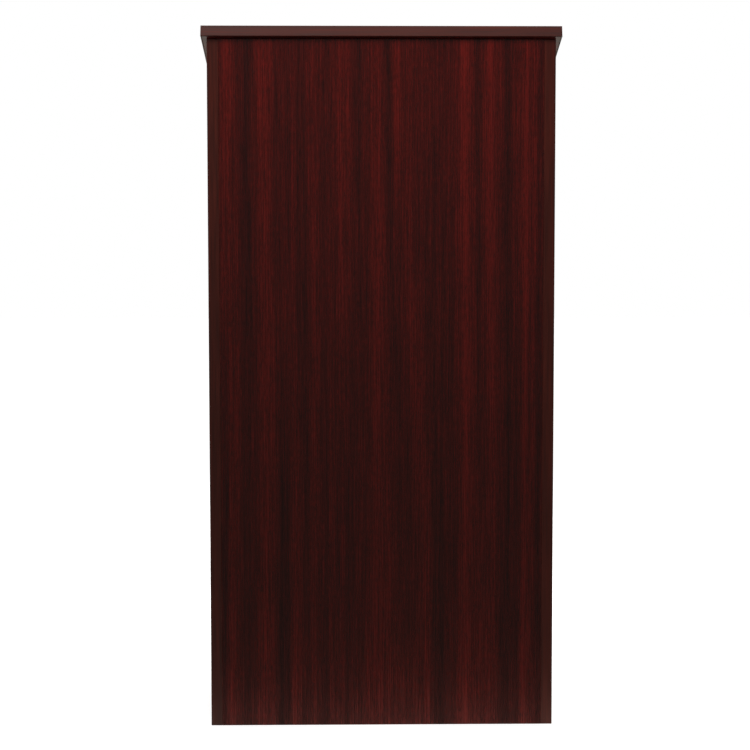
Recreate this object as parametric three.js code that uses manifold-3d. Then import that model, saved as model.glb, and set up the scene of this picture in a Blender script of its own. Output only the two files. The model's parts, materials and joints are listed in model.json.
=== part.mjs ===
// A free-standing speaker's pulpit of laminated board, built as knock-down furniture:
// two side panels, a full-height front panel between them, a sloping reading top, shelves that
// open to the speaker, cam fittings that pull the boards together, and four levellers in the base.
//
// Millimetres, +Z up. The origin is on the floor, under the middle of the whole outline.
// The audience faces the front panel on the -Y side; the speaker stands on the +Y side.
// Left and right are the audience's: left is -X, right is +X.

import * as THREE from "three";
import { mergeVertices } from "three/addons/utils/BufferGeometryUtils.js";
import Module from "manifold-3d";

const wasm = await Module();
wasm.setup();

// ---- Driving dimensions ----
const BOARD = 19;
const HEIGHT = 1185; // floor to the highest edge of the reading top
const SLOPE = THREE.MathUtils.degToRad(16);
const BODY_WIDTH = 584;
const BODY_DEPTH = 410;
const BODY_FRONT_Y = -219.5; // centres the outline, overhangs and paper stop included
const TOP_WIDTH = 603;
const TOP_LENGTH = 457; // down the slope
const FRONT_OVERHANG = 10;
const REST_GAP = 0.3; // between the sloping top and the boards that carry it

const TOP_BAND = 2; // edge band on the reading top
const EDGE_BAND = 1; // edge band on every other board
const GLUE_LINE = 0.2; // between the reading top and the strips fixed to its edges

const STOP_THICKNESS = 12;
const STOP_HEIGHT = 33; // from the underside of the top
const STOP_INSET = 30;
const STOP_ROUNDING = 4;

const UPPER_SHELF_Z = 880; // undersides of the shelves
const ADJUSTABLE_SHELF_Z = 486;
const BOTTOM_PANEL_Z = 82;
const SHELF_SETBACK = 14; // from the rear edge of the sides to the shelves' band
const SHELF_CLEARANCE = 1.5; // each side of the adjustable shelf
const TOE_KICK_SETBACK = 36;
const TOE_KICK_LIFT = 3;

const PIN_RADIUS = 2.5;
const PIN_HOLE_RADIUS = 2.6;
const PIN_HOLE_DEPTH = 11;
const PIN_HOLE_PITCH = 32;
const PIN_HOLES_EACH_WAY = 3; // above and below the row in use
const PIN_COLUMN_OFFSET = 140; // each way from the middle of the body's depth
const PIN_SHANK = 10; // length inside the side panel
const COLLAR_RADIUS = 4;
const COLLAR = 1.2; // thickness
const TONGUE_LENGTH = 13;
const TONGUE_WIDTH = 7;
const TONGUE = 1.8; // thickness
const WEB_LENGTH = 4; // from inside the collar to along the tongue
const WEB_HEIGHT = 6;
const WEB = 1.6; // thickness

const CAM_RADIUS = 7.4;
const CAM_HEIGHT = 12;
const CAM_SETBACK = 34; // from the board's edge to the cam's axis
const CAM_PLAY = 0.2;
const CAM_RECESS = 0.2; // cam's face below the board's face
const CAM_SLOT_LENGTH = 8;
const CAM_SLOT_WIDTH = 1.6;
const CAM_SLOT_DEPTH = 1.8;
const BOLT_RADIUS = 3;
const BOLT_NECK_RADIUS = 1.8;
const BOLT_TIP_RADIUS = 1.5;
const BOLT_SCREW_LENGTH = 11;
const BOLT_HOLE_RADIUS = 4;
const JAW_WIDTH = 7.4; // opening in the cam that closes on the bolt's neck
const JAW_LENGTH = 14;

const LEVELLER_LIFT = 0.5; // pad to floor when wound fully up
const LEVELLER_INSET = 24; // stud axis to the side panel
const STUD_RADIUS = 5;
const STUD_TOP = 62; // above the underside of the pad
const KEY_RADIUS = 2.9; // hexagon socket in the stud's top, over its corners
const KEY_DEPTH = 6;
const STUD_FOOT_RADIUS = 6; // the head that the pad holds
const STUD_FOOT_HEIGHT = 5;
const STUD_NECK_RADIUS = 3.6;
const SWIVEL_PLAY = 0.3;
const PAD_RADIUS = 17;
const PAD_HEIGHT = 11;
const PAD_FLOOR = 2.4; // pad material under the stud's foot
const PAD_FLANGE_TOP = 5.5;
const PAD_COLLAR_RADIUS = 8.5;
const BRACKET_SHEET = 2.5;
const BRACKET_WIDTH = 40;
const BRACKET_REACH = 40;
const BRACKET_RISE = 38;
const BRACKET_Z = 24;
const BRACKET_SCREW_RADIUS = 2.2;
const BRACKET_SCREW_OFFSET = 12; // each way from the middle of the bracket
const BRACKET_SCREW_DROP = 9; // below the bracket's upper edge
const BRACKET_GAP = 0.1; // to the side panel
const NUT_RADIUS = 9; // over its corners
const NUT_HEIGHT = 9;
const THREAD_PLAY = 0.08;
const ACCESS_HOLE_RADIUS = 6;
const FRONT_LEVELLER_OFFSET = 34; // stud axis to the front panel
const REAR_LEVELLER_OFFSET = 32; // stud axis to the toe kick

const FRONT_CAM_HEIGHTS = { lower: 300, upper: 1000 };
const TOP_CAM_PLACES = { front: 90, rear: 370 }; // down the slope
const UPPER_SHELF_CAM_OFFSET = 60; // towards the speaker from the middle of the body's depth

const CUT = 1; // how far a cutter runs past the face that it opens

const TURNING = 24; // segments round a leveller's stud and what it turns in
const FITTING = 16; // segments round a cam
const SMALL = 10; // segments round a bolt, a pin or its hole

// ---- Derived places ----
const innerX = BODY_WIDTH / 2 - BOARD;
const frontY = BODY_FRONT_Y;
const rearY = frontY + BODY_DEPTH;
const middleY = (frontY + rearY) / 2;
const topFront = new THREE.Vector3(
  0,
  frontY - FRONT_OVERHANG,
  HEIGHT - BOARD * Math.cos(SLOPE),
);
const shelfFrontY = frontY + BOARD;
const shelfRearY = rearY - SHELF_SETBACK - EDGE_BAND;
const toeKickY = rearY - TOE_KICK_SETBACK - BOARD;

// Height of the plane that the boards stop at, just under the sloping top.
const underTop = (y) =>
  topFront.z - (y - topFront.y) * Math.tan(SLOPE) - REST_GAP / Math.cos(SLOPE);

// ---- Finishes ----
const finish = (color, roughness, metalness = 0) =>
  new THREE.MeshStandardMaterial({ color, roughness, metalness });
const mahogany = finish(0x4a1716, 0.38);
const edgeBand = finish(0x54291f, 0.42);
const zinc = finish(0xb4b2ac, 0.35, 1);
const blackPlastic = finish(0x1b1b1c, 0.55);

// ---- Solids ----
const toSolid = (geometry) => {
  const bare = geometry.clone();
  bare.deleteAttribute("normal");
  bare.deleteAttribute("uv");
  const merged = mergeVertices(bare, 1e-4);
  return new wasm.Manifold(
    new wasm.Mesh({
      numProp: 3,
      vertProperties: new Float32Array(merged.attributes.position.array),
      triVerts: new Uint32Array(merged.index.array),
    }),
  );
};

const toGeometry = (solid) => {
  const mesh = solid.getMesh();
  return new THREE.BufferGeometry()
    .setAttribute("position", new THREE.BufferAttribute(new Float32Array(mesh.vertProperties), 3))
    .setIndex(new THREE.BufferAttribute(new Uint32Array(mesh.triVerts), 1));
};

const union = (...geometries) =>
  toGeometry(geometries.map(toSolid).reduce((whole, next) => whole.add(next)));
const difference = (geometry, ...cutters) =>
  toGeometry(cutters.map(toSolid).reduce((left, next) => left.subtract(next), toSolid(geometry)));

// Cuts a hole, given in the part's frame, out of a mesh wherever that mesh stands.
const drill = (mesh, cutter) => {
  mesh.updateWorldMatrix(true, false);
  const local = cutter.clone().applyMatrix4(mesh.matrixWorld.clone().invert());
  mesh.geometry = difference(mesh.geometry, local);
};

// A block with one corner at the origin.
const block = (x, y, z) => new THREE.BoxGeometry(x, y, z).translate(x / 2, y / 2, z / 2);

// An outline in the YZ plane, extruded along +X from x = 0.
const alongX = (shape, length) =>
  new THREE.ExtrudeGeometry(shape, { depth: length, bevelEnabled: false, curveSegments: 4 }).applyMatrix4(
    new THREE.Matrix4().makeBasis(
      new THREE.Vector3(0, 1, 0),
      new THREE.Vector3(0, 0, 1),
      new THREE.Vector3(1, 0, 0),
    ),
  );

// A cylinder along +X or +Z, from one place on that axis to another.
const rodX = (radius, x0, x1, segments) =>
  new THREE.CylinderGeometry(radius, radius, x1 - x0, segments)
    .rotateZ(-Math.PI / 2)
    .translate((x0 + x1) / 2, 0, 0);
const rodZ = (radius, z0, z1, segments) =>
  new THREE.CylinderGeometry(radius, radius, z1 - z0, segments)
    .rotateX(Math.PI / 2)
    .translate(0, 0, (z0 + z1) / 2);

// A turned piece about +Z from [radius, height] pairs that start and end on the axis.
const turned = (profile, segments) =>
  new THREE.LatheGeometry(
    profile.map(([r, z]) => new THREE.Vector2(r, z)),
    segments,
  ).rotateX(Math.PI / 2);

const piece = (parent, name, geometry, material, x = 0, y = 0, z = 0) => {
  const mesh = new THREE.Mesh(geometry, material);
  mesh.name = name;
  mesh.position.set(x, y, z);
  parent.add(mesh);
  return mesh;
};

// ---- Body: sides and front panel, all cut to the slope ----
const pulpit = new THREE.Group();

// Part of an upright board between two depths, from the floor to the slope.
const uprightOutline = (y0, y1) =>
  new THREE.Shape([
    new THREE.Vector2(y0, 0),
    new THREE.Vector2(y1, 0),
    new THREE.Vector2(y1, underTop(y1)),
    new THREE.Vector2(y0, underTop(y0)),
  ]);

const makeSide = (name, x) => {
  const panel = piece(
    pulpit,
    `${name}_side_panel`,
    alongX(uprightOutline(frontY + EDGE_BAND, rearY - EDGE_BAND), BOARD),
    mahogany,
    x,
  );
  const frontBand = uprightOutline(frontY, frontY + EDGE_BAND);
  const rearBand = uprightOutline(rearY - EDGE_BAND, rearY);
  piece(pulpit, `${name}_side_front_edge_band`, alongX(frontBand, BOARD), edgeBand, x);
  piece(pulpit, `${name}_side_rear_edge_band`, alongX(rearBand, BOARD), edgeBand, x);
  return panel;
};
const leftSide = makeSide("left", -BODY_WIDTH / 2);
const rightSide = makeSide("right", innerX);
const sides = [
  { name: "left", sign: -1, panel: leftSide },
  { name: "right", sign: 1, panel: rightSide },
];

const frontPanel = piece(
  pulpit,
  "front_panel",
  alongX(uprightOutline(frontY, frontY + BOARD), 2 * innerX),
  mahogany,
  -innerX,
);

// ---- Reading top, in a group turned to the slope ----
const readingTop = new THREE.Group();
readingTop.position.copy(topFront);
readingTop.rotation.x = -SLOPE;
pulpit.add(readingTop);

const coreInset = TOP_BAND + GLUE_LINE;
const topBoard = piece(
  readingTop,
  "reading_top",
  block(TOP_WIDTH - 2 * coreInset, TOP_LENGTH - 2 * coreInset, BOARD),
  mahogany,
  coreInset - TOP_WIDTH / 2,
  coreInset,
);
for (const [name, y] of [
  ["front", 0],
  ["rear", TOP_LENGTH - TOP_BAND],
]) {
  const band = block(TOP_WIDTH, TOP_BAND, BOARD);
  piece(readingTop, `top_${name}_edge_band`, band, edgeBand, -TOP_WIDTH / 2, y);
}
for (const [name, x] of [
  ["left", -TOP_WIDTH / 2],
  ["right", TOP_WIDTH / 2 - TOP_BAND],
]) {
  const band = block(TOP_BAND, TOP_LENGTH - 2 * coreInset, BOARD);
  piece(readingTop, `top_${name}_edge_band`, band, edgeBand, x, coreInset);
}

// The paper stop is a lip on the low edge, rounded along its top.
const stopOutline = new THREE.Shape()
  .moveTo(0, 0)
  .lineTo(STOP_THICKNESS, 0)
  .lineTo(STOP_THICKNESS, STOP_HEIGHT - STOP_ROUNDING)
  .absarc(STOP_THICKNESS - STOP_ROUNDING, STOP_HEIGHT - STOP_ROUNDING, STOP_ROUNDING, 0, Math.PI / 2)
  .lineTo(STOP_ROUNDING, STOP_HEIGHT)
  .absarc(STOP_ROUNDING, STOP_HEIGHT - STOP_ROUNDING, STOP_ROUNDING, Math.PI / 2, Math.PI)
  .lineTo(0, 0);
piece(
  readingTop,
  "paper_stop",
  alongX(stopOutline, TOP_WIDTH - 2 * STOP_INSET),
  mahogany,
  STOP_INSET - TOP_WIDTH / 2,
  TOP_LENGTH + GLUE_LINE,
);

// ---- Shelves and base ----
const makeShelf = (name, z, clearance) => {
  const width = 2 * (innerX - clearance);
  const depth = shelfRearY - shelfFrontY - clearance;
  const shelf = new THREE.Group();
  shelf.position.set(-width / 2, shelfFrontY + clearance, z);
  pulpit.add(shelf);
  piece(shelf, `${name}_edge_band`, block(width, EDGE_BAND, BOARD), edgeBand, 0, depth);
  return piece(shelf, name, block(width, depth, BOARD), mahogany);
};
const upperShelf = makeShelf("upper_shelf", UPPER_SHELF_Z, 0);
makeShelf("adjustable_shelf", ADJUSTABLE_SHELF_Z, SHELF_CLEARANCE);
const bottomPanel = makeShelf("bottom_panel", BOTTOM_PANEL_Z, 0);
piece(
  pulpit,
  "toe_kick",
  block(2 * innerX, BOARD, BOTTOM_PANEL_Z - TOE_KICK_LIFT),
  mahogany,
  -innerX,
  toeKickY,
  TOE_KICK_LIFT,
);

// ---- Shelf pins, and the rows of holes that they can be moved between ----
const pinZ = ADJUSTABLE_SHELF_Z - PIN_RADIUS;

// A spoon pin: a shank in the side, a collar against it, and a flat tongue under the shelf.
const makePin = () => {
  const shank = rodX(PIN_RADIUS, -COLLAR, PIN_SHANK, SMALL);
  const collar = rodX(COLLAR_RADIUS, -COLLAR, 0, SMALL);
  const tongue = block(TONGUE_LENGTH + COLLAR / 2, TONGUE_WIDTH, TONGUE).translate(
    -TONGUE_LENGTH - COLLAR / 2,
    -TONGUE_WIDTH / 2,
    PIN_RADIUS - TONGUE,
  );
  const web = block(WEB_LENGTH, WEB, WEB_HEIGHT).translate(
    -WEB_LENGTH - COLLAR / 2,
    -WEB / 2,
    PIN_RADIUS - TONGUE / 2 - WEB_HEIGHT,
  );
  // The collar is cut flush with the tongue, so that the shelf lies on both.
  const aboveTongue = block(2 * COLLAR, 3 * COLLAR_RADIUS, COLLAR_RADIUS).translate(
    -2 * COLLAR,
    -1.5 * COLLAR_RADIUS,
    PIN_RADIUS,
  );
  return difference(union(shank, collar, web, tongue), aboveTongue);
};
for (const { name, sign, panel } of sides) {
  for (const [end, y] of [
    ["front", middleY - PIN_COLUMN_OFFSET],
    ["rear", middleY + PIN_COLUMN_OFFSET],
  ]) {
    for (let row = -PIN_HOLES_EACH_WAY; row <= PIN_HOLES_EACH_WAY; row++) {
      const hole = rodX(PIN_HOLE_RADIUS, -CUT, PIN_HOLE_DEPTH, SMALL);
      hole.rotateZ(sign > 0 ? 0 : Math.PI);
      drill(panel, hole.translate(sign * innerX, y, pinZ + row * PIN_HOLE_PITCH));
    }
    const pin = piece(pulpit, `shelf_pin_${end}_${name}`, makePin(), zinc, sign * innerX, y, pinZ);
    pin.rotation.z = sign > 0 ? 0 : Math.PI;
  }
}

// ---- Cam fittings ----
// Joint frame: origin where the cam board's edge meets its neighbour, at mid thickness;
// +X points into the neighbour and +Z points out of the face that shows the cam.
const camFace = BOARD / 2;
const camFloor = camFace - CAM_HEIGHT;
const atCam = (geometry) => geometry.translate(-CAM_SETBACK, 0, 0);

const makeCam = () => {
  const drum = rodZ(CAM_RADIUS, camFloor, camFace - CAM_RECESS, FITTING);
  const jaws = new THREE.BoxGeometry(JAW_LENGTH, JAW_WIDTH, JAW_WIDTH).translate(4, 0, 0);
  const slotCutter = 2 * (CAM_SLOT_DEPTH + CAM_RECESS);
  const slot = (x, y) => new THREE.BoxGeometry(x, y, slotCutter).translate(0, 0, camFace);
  const cross = [slot(CAM_SLOT_LENGTH, CAM_SLOT_WIDTH), slot(CAM_SLOT_WIDTH, CAM_SLOT_LENGTH)];
  return atCam(difference(drum, jaws, ...cross));
};

// The bolt lies along +X: its head is in the cam and its screw is in the neighbour.
const makeBolt = () =>
  turned(
    [
      [0, -CAM_SETBACK - 2],
      [BOLT_RADIUS, -CAM_SETBACK - 1],
      [BOLT_RADIUS, -CAM_SETBACK + 3],
      [BOLT_NECK_RADIUS, -CAM_SETBACK + 4.5],
      [BOLT_NECK_RADIUS, -CAM_SETBACK + 7],
      [BOLT_RADIUS, -CAM_SETBACK + 9],
      [BOLT_RADIUS, BOLT_SCREW_LENGTH - 2],
      [BOLT_TIP_RADIUS, BOLT_SCREW_LENGTH],
      [0, BOLT_SCREW_LENGTH],
    ],
    SMALL,
  ).rotateY(Math.PI / 2);

const camPocket = atCam(rodZ(CAM_RADIUS + CAM_PLAY, camFloor - REST_GAP, camFace + CUT, FITTING));
const boltRun = rodX(BOLT_HOLE_RADIUS, -CAM_SETBACK - BOLT_RADIUS, CUT, SMALL);
const screwHole = rodX(BOLT_RADIUS + CAM_PLAY, -CUT, BOLT_SCREW_LENGTH + REST_GAP, SMALL);

const camJoint = (name, camBoard, neighbour, origin, intoNeighbour, faceNormal) => {
  const across = new THREE.Vector3().crossVectors(faceNormal, intoNeighbour);
  const frame = new THREE.Matrix4().makeBasis(intoNeighbour, across, faceNormal).setPosition(origin);
  drill(camBoard, union(camPocket, boltRun).applyMatrix4(frame));
  drill(neighbour, screwHole.clone().applyMatrix4(frame));
  piece(pulpit, `${name}_cam`, makeCam(), zinc).applyMatrix4(frame);
  piece(pulpit, `${name}_bolt`, makeBolt(), zinc).applyMatrix4(frame);
};

const down = new THREE.Vector3(0, 0, -1);
const rearward = new THREE.Vector3(0, 1, 0);
const topNormal = new THREE.Vector3(0, Math.sin(SLOPE), Math.cos(SLOPE));
const downSlope = new THREE.Vector3(0, Math.cos(SLOPE), -Math.sin(SLOPE));

for (const { name, sign, panel } of sides) {
  const outward = new THREE.Vector3(sign, 0, 0);
  const inward = new THREE.Vector3(-sign, 0, 0);
  const onSide = (y, z) => new THREE.Vector3(sign * innerX, y, z);

  for (const [level, z] of Object.entries(FRONT_CAM_HEIGHTS)) {
    const place = onSide(frontY + BOARD / 2, z);
    camJoint(`front_panel_${level}_${name}`, frontPanel, panel, place, outward, rearward);
  }
  const shelfPlace = onSide(middleY + UPPER_SHELF_CAM_OFFSET, UPPER_SHELF_Z + BOARD / 2);
  camJoint(`upper_shelf_${name}`, upperShelf, panel, shelfPlace, outward, down);
  const basePlace = onSide(middleY, BOTTOM_PANEL_Z + BOARD / 2);
  camJoint(`bottom_panel_${name}`, bottomPanel, panel, basePlace, outward, down);

  for (const [end, along] of Object.entries(TOP_CAM_PLACES)) {
    const place = topFront.clone().addScaledVector(downSlope, along);
    place.x = sign * (innerX + BOARD / 2);
    camJoint(`top_${end}_${name}`, panel, topBoard, place, topNormal, inward);
  }
}

// ---- Levellers: a bracket on each side panel, a screwed stud, and a pad that swivels on it ----
const makeBracket = () => {
  const angle = new THREE.Shape([
    new THREE.Vector2(0, 0),
    new THREE.Vector2(-BRACKET_REACH, 0),
    new THREE.Vector2(-BRACKET_REACH, BRACKET_SHEET),
    new THREE.Vector2(-BRACKET_SHEET, BRACKET_SHEET),
    new THREE.Vector2(-BRACKET_SHEET, BRACKET_RISE),
    new THREE.Vector2(0, BRACKET_RISE),
  ]);
  const sheet = new THREE.ExtrudeGeometry(angle, { depth: BRACKET_WIDTH, bevelEnabled: false })
    .rotateX(Math.PI / 2)
    .translate(0, BRACKET_WIDTH / 2, 0);
  const atStud = (geometry) => geometry.translate(-LEVELLER_INSET, 0, 0);
  const nut = atStud(rodZ(NUT_RADIUS, BRACKET_SHEET / 2, NUT_HEIGHT, 6));
  const thread = atStud(rodZ(STUD_RADIUS + THREAD_PLAY, -CUT, NUT_HEIGHT + CUT, TURNING));
  const screwHoles = [-BRACKET_SCREW_OFFSET, BRACKET_SCREW_OFFSET].map((y) =>
    rodX(BRACKET_SCREW_RADIUS, -BRACKET_SHEET - CUT, CUT, SMALL).translate(
      0,
      y,
      BRACKET_RISE - BRACKET_SCREW_DROP,
    ),
  );
  return difference(union(sheet, nut), thread, ...screwHoles);
};

const makePad = () => {
  const footRoom = STUD_FOOT_RADIUS + SWIVEL_PLAY;
  const neckRoom = STUD_NECK_RADIUS + SWIVEL_PLAY;
  const footRoomTop = PAD_FLOOR + STUD_FOOT_HEIGHT;
  return turned(
    [
      [0, 0],
      [PAD_RADIUS - 1.5, 0],
      [PAD_RADIUS, 1.5],
      [PAD_RADIUS, PAD_FLANGE_TOP - 1.5],
      [PAD_RADIUS - 1.5, PAD_FLANGE_TOP],
      [PAD_COLLAR_RADIUS + 1.5, PAD_FLANGE_TOP + 1],
      [PAD_COLLAR_RADIUS, PAD_HEIGHT],
      [neckRoom, PAD_HEIGHT],
      [neckRoom, footRoomTop + 1],
      [footRoom, footRoomTop],
      [footRoom, PAD_FLOOR],
      [0, PAD_FLOOR],
    ],
    TURNING,
  );
};

const makeStud = () => {
  const foot = PAD_FLOOR + SWIVEL_PLAY;
  const shank = turned(
    [
      [0, foot],
      [STUD_FOOT_RADIUS - 1, foot],
      [STUD_FOOT_RADIUS, foot + 1],
      [STUD_FOOT_RADIUS, foot + STUD_FOOT_HEIGHT - 1.6],
      [STUD_NECK_RADIUS, foot + STUD_FOOT_HEIGHT],
      [STUD_NECK_RADIUS, PAD_HEIGHT + 1.5],
      [STUD_RADIUS, PAD_HEIGHT + 3],
      [STUD_RADIUS, STUD_TOP - 1],
      [STUD_RADIUS - 1, STUD_TOP],
      [0, STUD_TOP],
    ],
    TURNING,
  );
  return difference(shank, rodZ(KEY_RADIUS, STUD_TOP - KEY_DEPTH, STUD_TOP + CUT, 6));
};

const LEVELLER_PLACES = {
  front: shelfFrontY + FRONT_LEVELLER_OFFSET,
  rear: toeKickY - REAR_LEVELLER_OFFSET,
};
for (const { name, sign } of sides) {
  for (const [end, y] of Object.entries(LEVELLER_PLACES)) {
    const bracket = piece(
      pulpit,
      `leveller_bracket_${end}_${name}`,
      makeBracket(),
      zinc,
      sign * (innerX - BRACKET_GAP),
      y,
      BRACKET_Z,
    );
    bracket.rotation.z = sign > 0 ? 0 : Math.PI;
    const studX = sign * (innerX - BRACKET_GAP - LEVELLER_INSET);
    piece(pulpit, `leveller_stud_${end}_${name}`, makeStud(), zinc, studX, y, LEVELLER_LIFT);
    piece(pulpit, `leveller_pad_${end}_${name}`, makePad(), blackPlastic, studX, y, LEVELLER_LIFT);

    // A key reaches the stud through a hole in the bottom panel.
    const access = rodZ(ACCESS_HOLE_RADIUS, -CUT, BOARD + CUT, FITTING);
    drill(bottomPanel, access.translate(studX, y, BOTTOM_PANEL_Z));
  }
}

export default pulpit;
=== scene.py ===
"""The looks of a speaker's pulpit of mahogany laminate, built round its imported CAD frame.

Metres, +Z up, origin on the floor. The audience is on -Y and the speaker on +Y. Every visible piece
takes its place and size from the CAD node that it stands for; only the fine shape is added here.
"""

import json
import math

import bmesh
import bpy
from mathutils import Matrix, Quaternion, Vector


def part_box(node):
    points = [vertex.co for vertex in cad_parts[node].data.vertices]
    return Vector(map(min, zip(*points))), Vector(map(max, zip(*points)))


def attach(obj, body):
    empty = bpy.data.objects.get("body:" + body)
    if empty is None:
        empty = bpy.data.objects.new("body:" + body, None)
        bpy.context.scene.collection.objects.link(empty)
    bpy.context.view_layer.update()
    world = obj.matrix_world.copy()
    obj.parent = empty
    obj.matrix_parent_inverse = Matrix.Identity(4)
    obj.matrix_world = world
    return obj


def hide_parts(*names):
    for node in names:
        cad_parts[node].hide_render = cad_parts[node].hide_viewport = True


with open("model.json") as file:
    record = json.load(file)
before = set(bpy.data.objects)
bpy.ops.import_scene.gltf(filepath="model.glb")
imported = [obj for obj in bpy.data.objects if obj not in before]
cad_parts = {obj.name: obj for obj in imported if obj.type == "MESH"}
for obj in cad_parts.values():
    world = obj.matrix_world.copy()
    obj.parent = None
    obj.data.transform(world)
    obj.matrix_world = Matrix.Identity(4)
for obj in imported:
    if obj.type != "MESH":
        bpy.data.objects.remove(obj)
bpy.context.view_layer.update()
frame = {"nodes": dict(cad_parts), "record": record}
record = frame["record"]

MM = 0.001
X, Y, Z = Vector((1, 0, 0)), Vector((0, 1, 0)), Vector((0, 0, 1))
SIDES = {"left": -1, "right": 1}
ENDS = ("front", "rear")

body_of = {node: body for body, nodes in record["behaviour"]["bodies"].items() for node in nodes}
mounts = {mount["name"]: mount for mount in record["mounts"]}

top_normal = Vector(mounts["reading_surface"]["axis"])
down_slope = X.cross(top_normal) * -1


# ---- Meshes ----
RINGS_PER_PITCH = 6
NO_RADIUS = 1e-7


def fresh_mesh(bm, name):
    """Turns a bmesh into a mesh with all faces pointing outwards."""
    bmesh.ops.recalc_face_normals(bm, faces=bm.faces)
    mesh = bpy.data.meshes.new(name)
    bm.to_mesh(mesh)
    bm.free()
    return mesh


def linked(name, mesh):
    piece = bpy.data.objects.new(name, mesh)
    bpy.context.scene.collection.objects.link(piece)
    return piece


def apply_modifiers(piece):
    """Makes the modified shape the piece's own mesh."""
    depsgraph = bpy.context.evaluated_depsgraph_get()
    mesh = bpy.data.meshes.new_from_object(piece.evaluated_get(depsgraph), depsgraph=depsgraph)
    piece.modifiers.clear()
    piece.data = mesh


def boolean(piece, tool_mesh, operation):
    """Cuts or joins a mesh with the piece. Faces keep the material number of the mesh they come from."""
    tool = linked("tool", tool_mesh)
    modifier = piece.modifiers.new("boolean", "BOOLEAN")
    modifier.operation = operation
    modifier.solver = "EXACT"
    modifier.material_mode = "INDEX"
    modifier.object = tool
    apply_modifiers(piece)
    bpy.data.objects.remove(tool)


def cut(piece, tool_mesh):
    boolean(piece, tool_mesh, "DIFFERENCE")


def join(piece, tool_mesh):
    boolean(piece, tool_mesh, "UNION")


def smooth(piece, angle=32):
    """Smooth shading that keeps flat faces flat and edges above an angle sharp."""
    piece.data.shade_smooth()
    piece.data.set_sharp_from_angle(angle=math.radians(angle))
    weighted = piece.modifiers.new("normals", "WEIGHTED_NORMAL")
    weighted.keep_sharp = True
    weighted.weight = 100


def show(node, piece, *materials):
    """Puts a finished piece in place of a CAD node, on that node's body."""
    for material in materials:
        piece.data.materials.append(material)
    smooth(piece)
    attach(piece, body_of[node])
    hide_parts(node)
    return piece


def middle(node):
    low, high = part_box(node)
    return (low + high) / 2


def rounded(corners, steps=6):
    """An outline from (u, v, radius) corners, each turned into an arc of that radius."""
    outline = []
    count = len(corners)
    for i, (u, v, radius) in enumerate(corners):
        here = Vector((u, v))
        if radius == 0:
            outline.append(here)
            continue
        before = (Vector(corners[i - 1][:2]) - here).normalized()
        after = (Vector(corners[(i + 1) % count][:2]) - here).normalized()
        half = before.angle(after) / 2
        centre = here + (before + after).normalized() * radius / math.sin(half)
        start = here + before * radius / math.tan(half) - centre
        end = here + after * radius / math.tan(half) - centre
        sweep = start.angle_signed(end)
        for step in range(steps + 1):
            turn = Matrix.Rotation(-sweep * step / steps, 2)
            outline.append(centre + turn @ start)
    return outline


def groove(height, angle, thread):
    """Depth of a right-hand thread's groove, which fades out at both ends of the thread."""
    low, high, pitch, depth = thread
    if not low < height < high:
        return 0
    turn = (height / pitch - angle / math.tau) % 1
    fade = min(1, (height - low) / pitch, (high - height) / pitch)
    return depth * fade * (1 - abs(2 * turn - 1))


def thread_levels(start, end, thread):
    """Points up a stretch of profile, close enough together to show the thread that crosses it."""
    if not thread:
        return []
    low, high, pitch, _ = thread
    if end.y <= start.y or start.y >= high or end.y <= low:
        return []
    rings = math.ceil((end.y - start.y) / (pitch / RINGS_PER_PITCH))
    return [start.lerp(end, ring / rings) for ring in range(1, rings)]


def turned_ring(bm, radius, height, segments, thread):
    """The points at one height of a turned solid: a ring, or a single point on the axis."""
    if radius < NO_RADIUS:
        return [bm.verts.new((0, 0, height))]
    ring = []
    for segment in range(segments):
        angle = math.tau * segment / segments
        reach = radius - groove(height, angle, thread) if thread else radius
        ring.append(bm.verts.new((reach * math.cos(angle), reach * math.sin(angle), height)))
    return ring


def lathe(profile, segments=48, steps=4, thread=None):
    """A closed solid about +Z from (radius, height, rounding) corners, the first and last on the axis.

    A thread is (low, high, pitch, depth), and is cut between those heights.
    """
    outline = rounded(profile, steps)
    levels = [outline[0]]
    for point in outline[1:]:
        levels += thread_levels(levels[-1], point, thread)
        levels.append(point)
    bm = bmesh.new()
    rings = [turned_ring(bm, radius, height, segments, thread) for radius, height in levels]
    for lower, upper in zip(rings, rings[1:]):
        for i in range(segments):
            j = (i + 1) % segments
            corners = [lower[i % len(lower)], lower[j % len(lower)]]
            corners += [upper[j % len(upper)], upper[i % len(upper)]]
            # Next to a single point the face is a triangle: the corner given twice counts once.
            bm.faces.new(list(dict.fromkeys(corners)))
    return bm


def rectangle(u0, v0, u1, v1, rounding=0):
    """Corners of an upright rectangle between two opposite ones."""
    return [(u0, v0, rounding), (u1, v0, rounding), (u1, v1, rounding), (u0, v1, rounding)]


def hexagon(radius, rounding):
    """A regular hexagon from the radius over its corners."""
    angles = [math.tau * corner / 6 for corner in range(6)]
    return [(radius * math.cos(angle), radius * math.sin(angle), rounding) for angle in angles]


def only_vertices(geometry):
    return [item for item in geometry if isinstance(item, bmesh.types.BMVert)]


def prism(outline, length, steps=6):
    """A solid from a (u, v, radius) outline in XY, from z = 0 to a length."""
    bm = bmesh.new()
    loop = [bm.verts.new((point.x, point.y, 0)) for point in rounded(outline, steps)]
    face = bm.faces.new(loop)
    lifted = bmesh.ops.extrude_face_region(bm, geom=[face])["geom"]
    bmesh.ops.translate(bm, verts=only_vertices(lifted), vec=(0, 0, length))
    return bm


def axes(origin, x_axis, z_axis):
    """The matrix that puts a shape's +X and +Z along two directions."""
    y_axis = z_axis.cross(x_axis)
    return Matrix.Translation(origin) @ Matrix((x_axis, y_axis, z_axis)).transposed().to_4x4()


def placed(bm, matrix, name="shape", material=0):
    bmesh.ops.transform(bm, matrix=matrix, verts=bm.verts)
    for face in bm.faces:
        face.material_index = material
    return fresh_mesh(bm, name)


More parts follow.
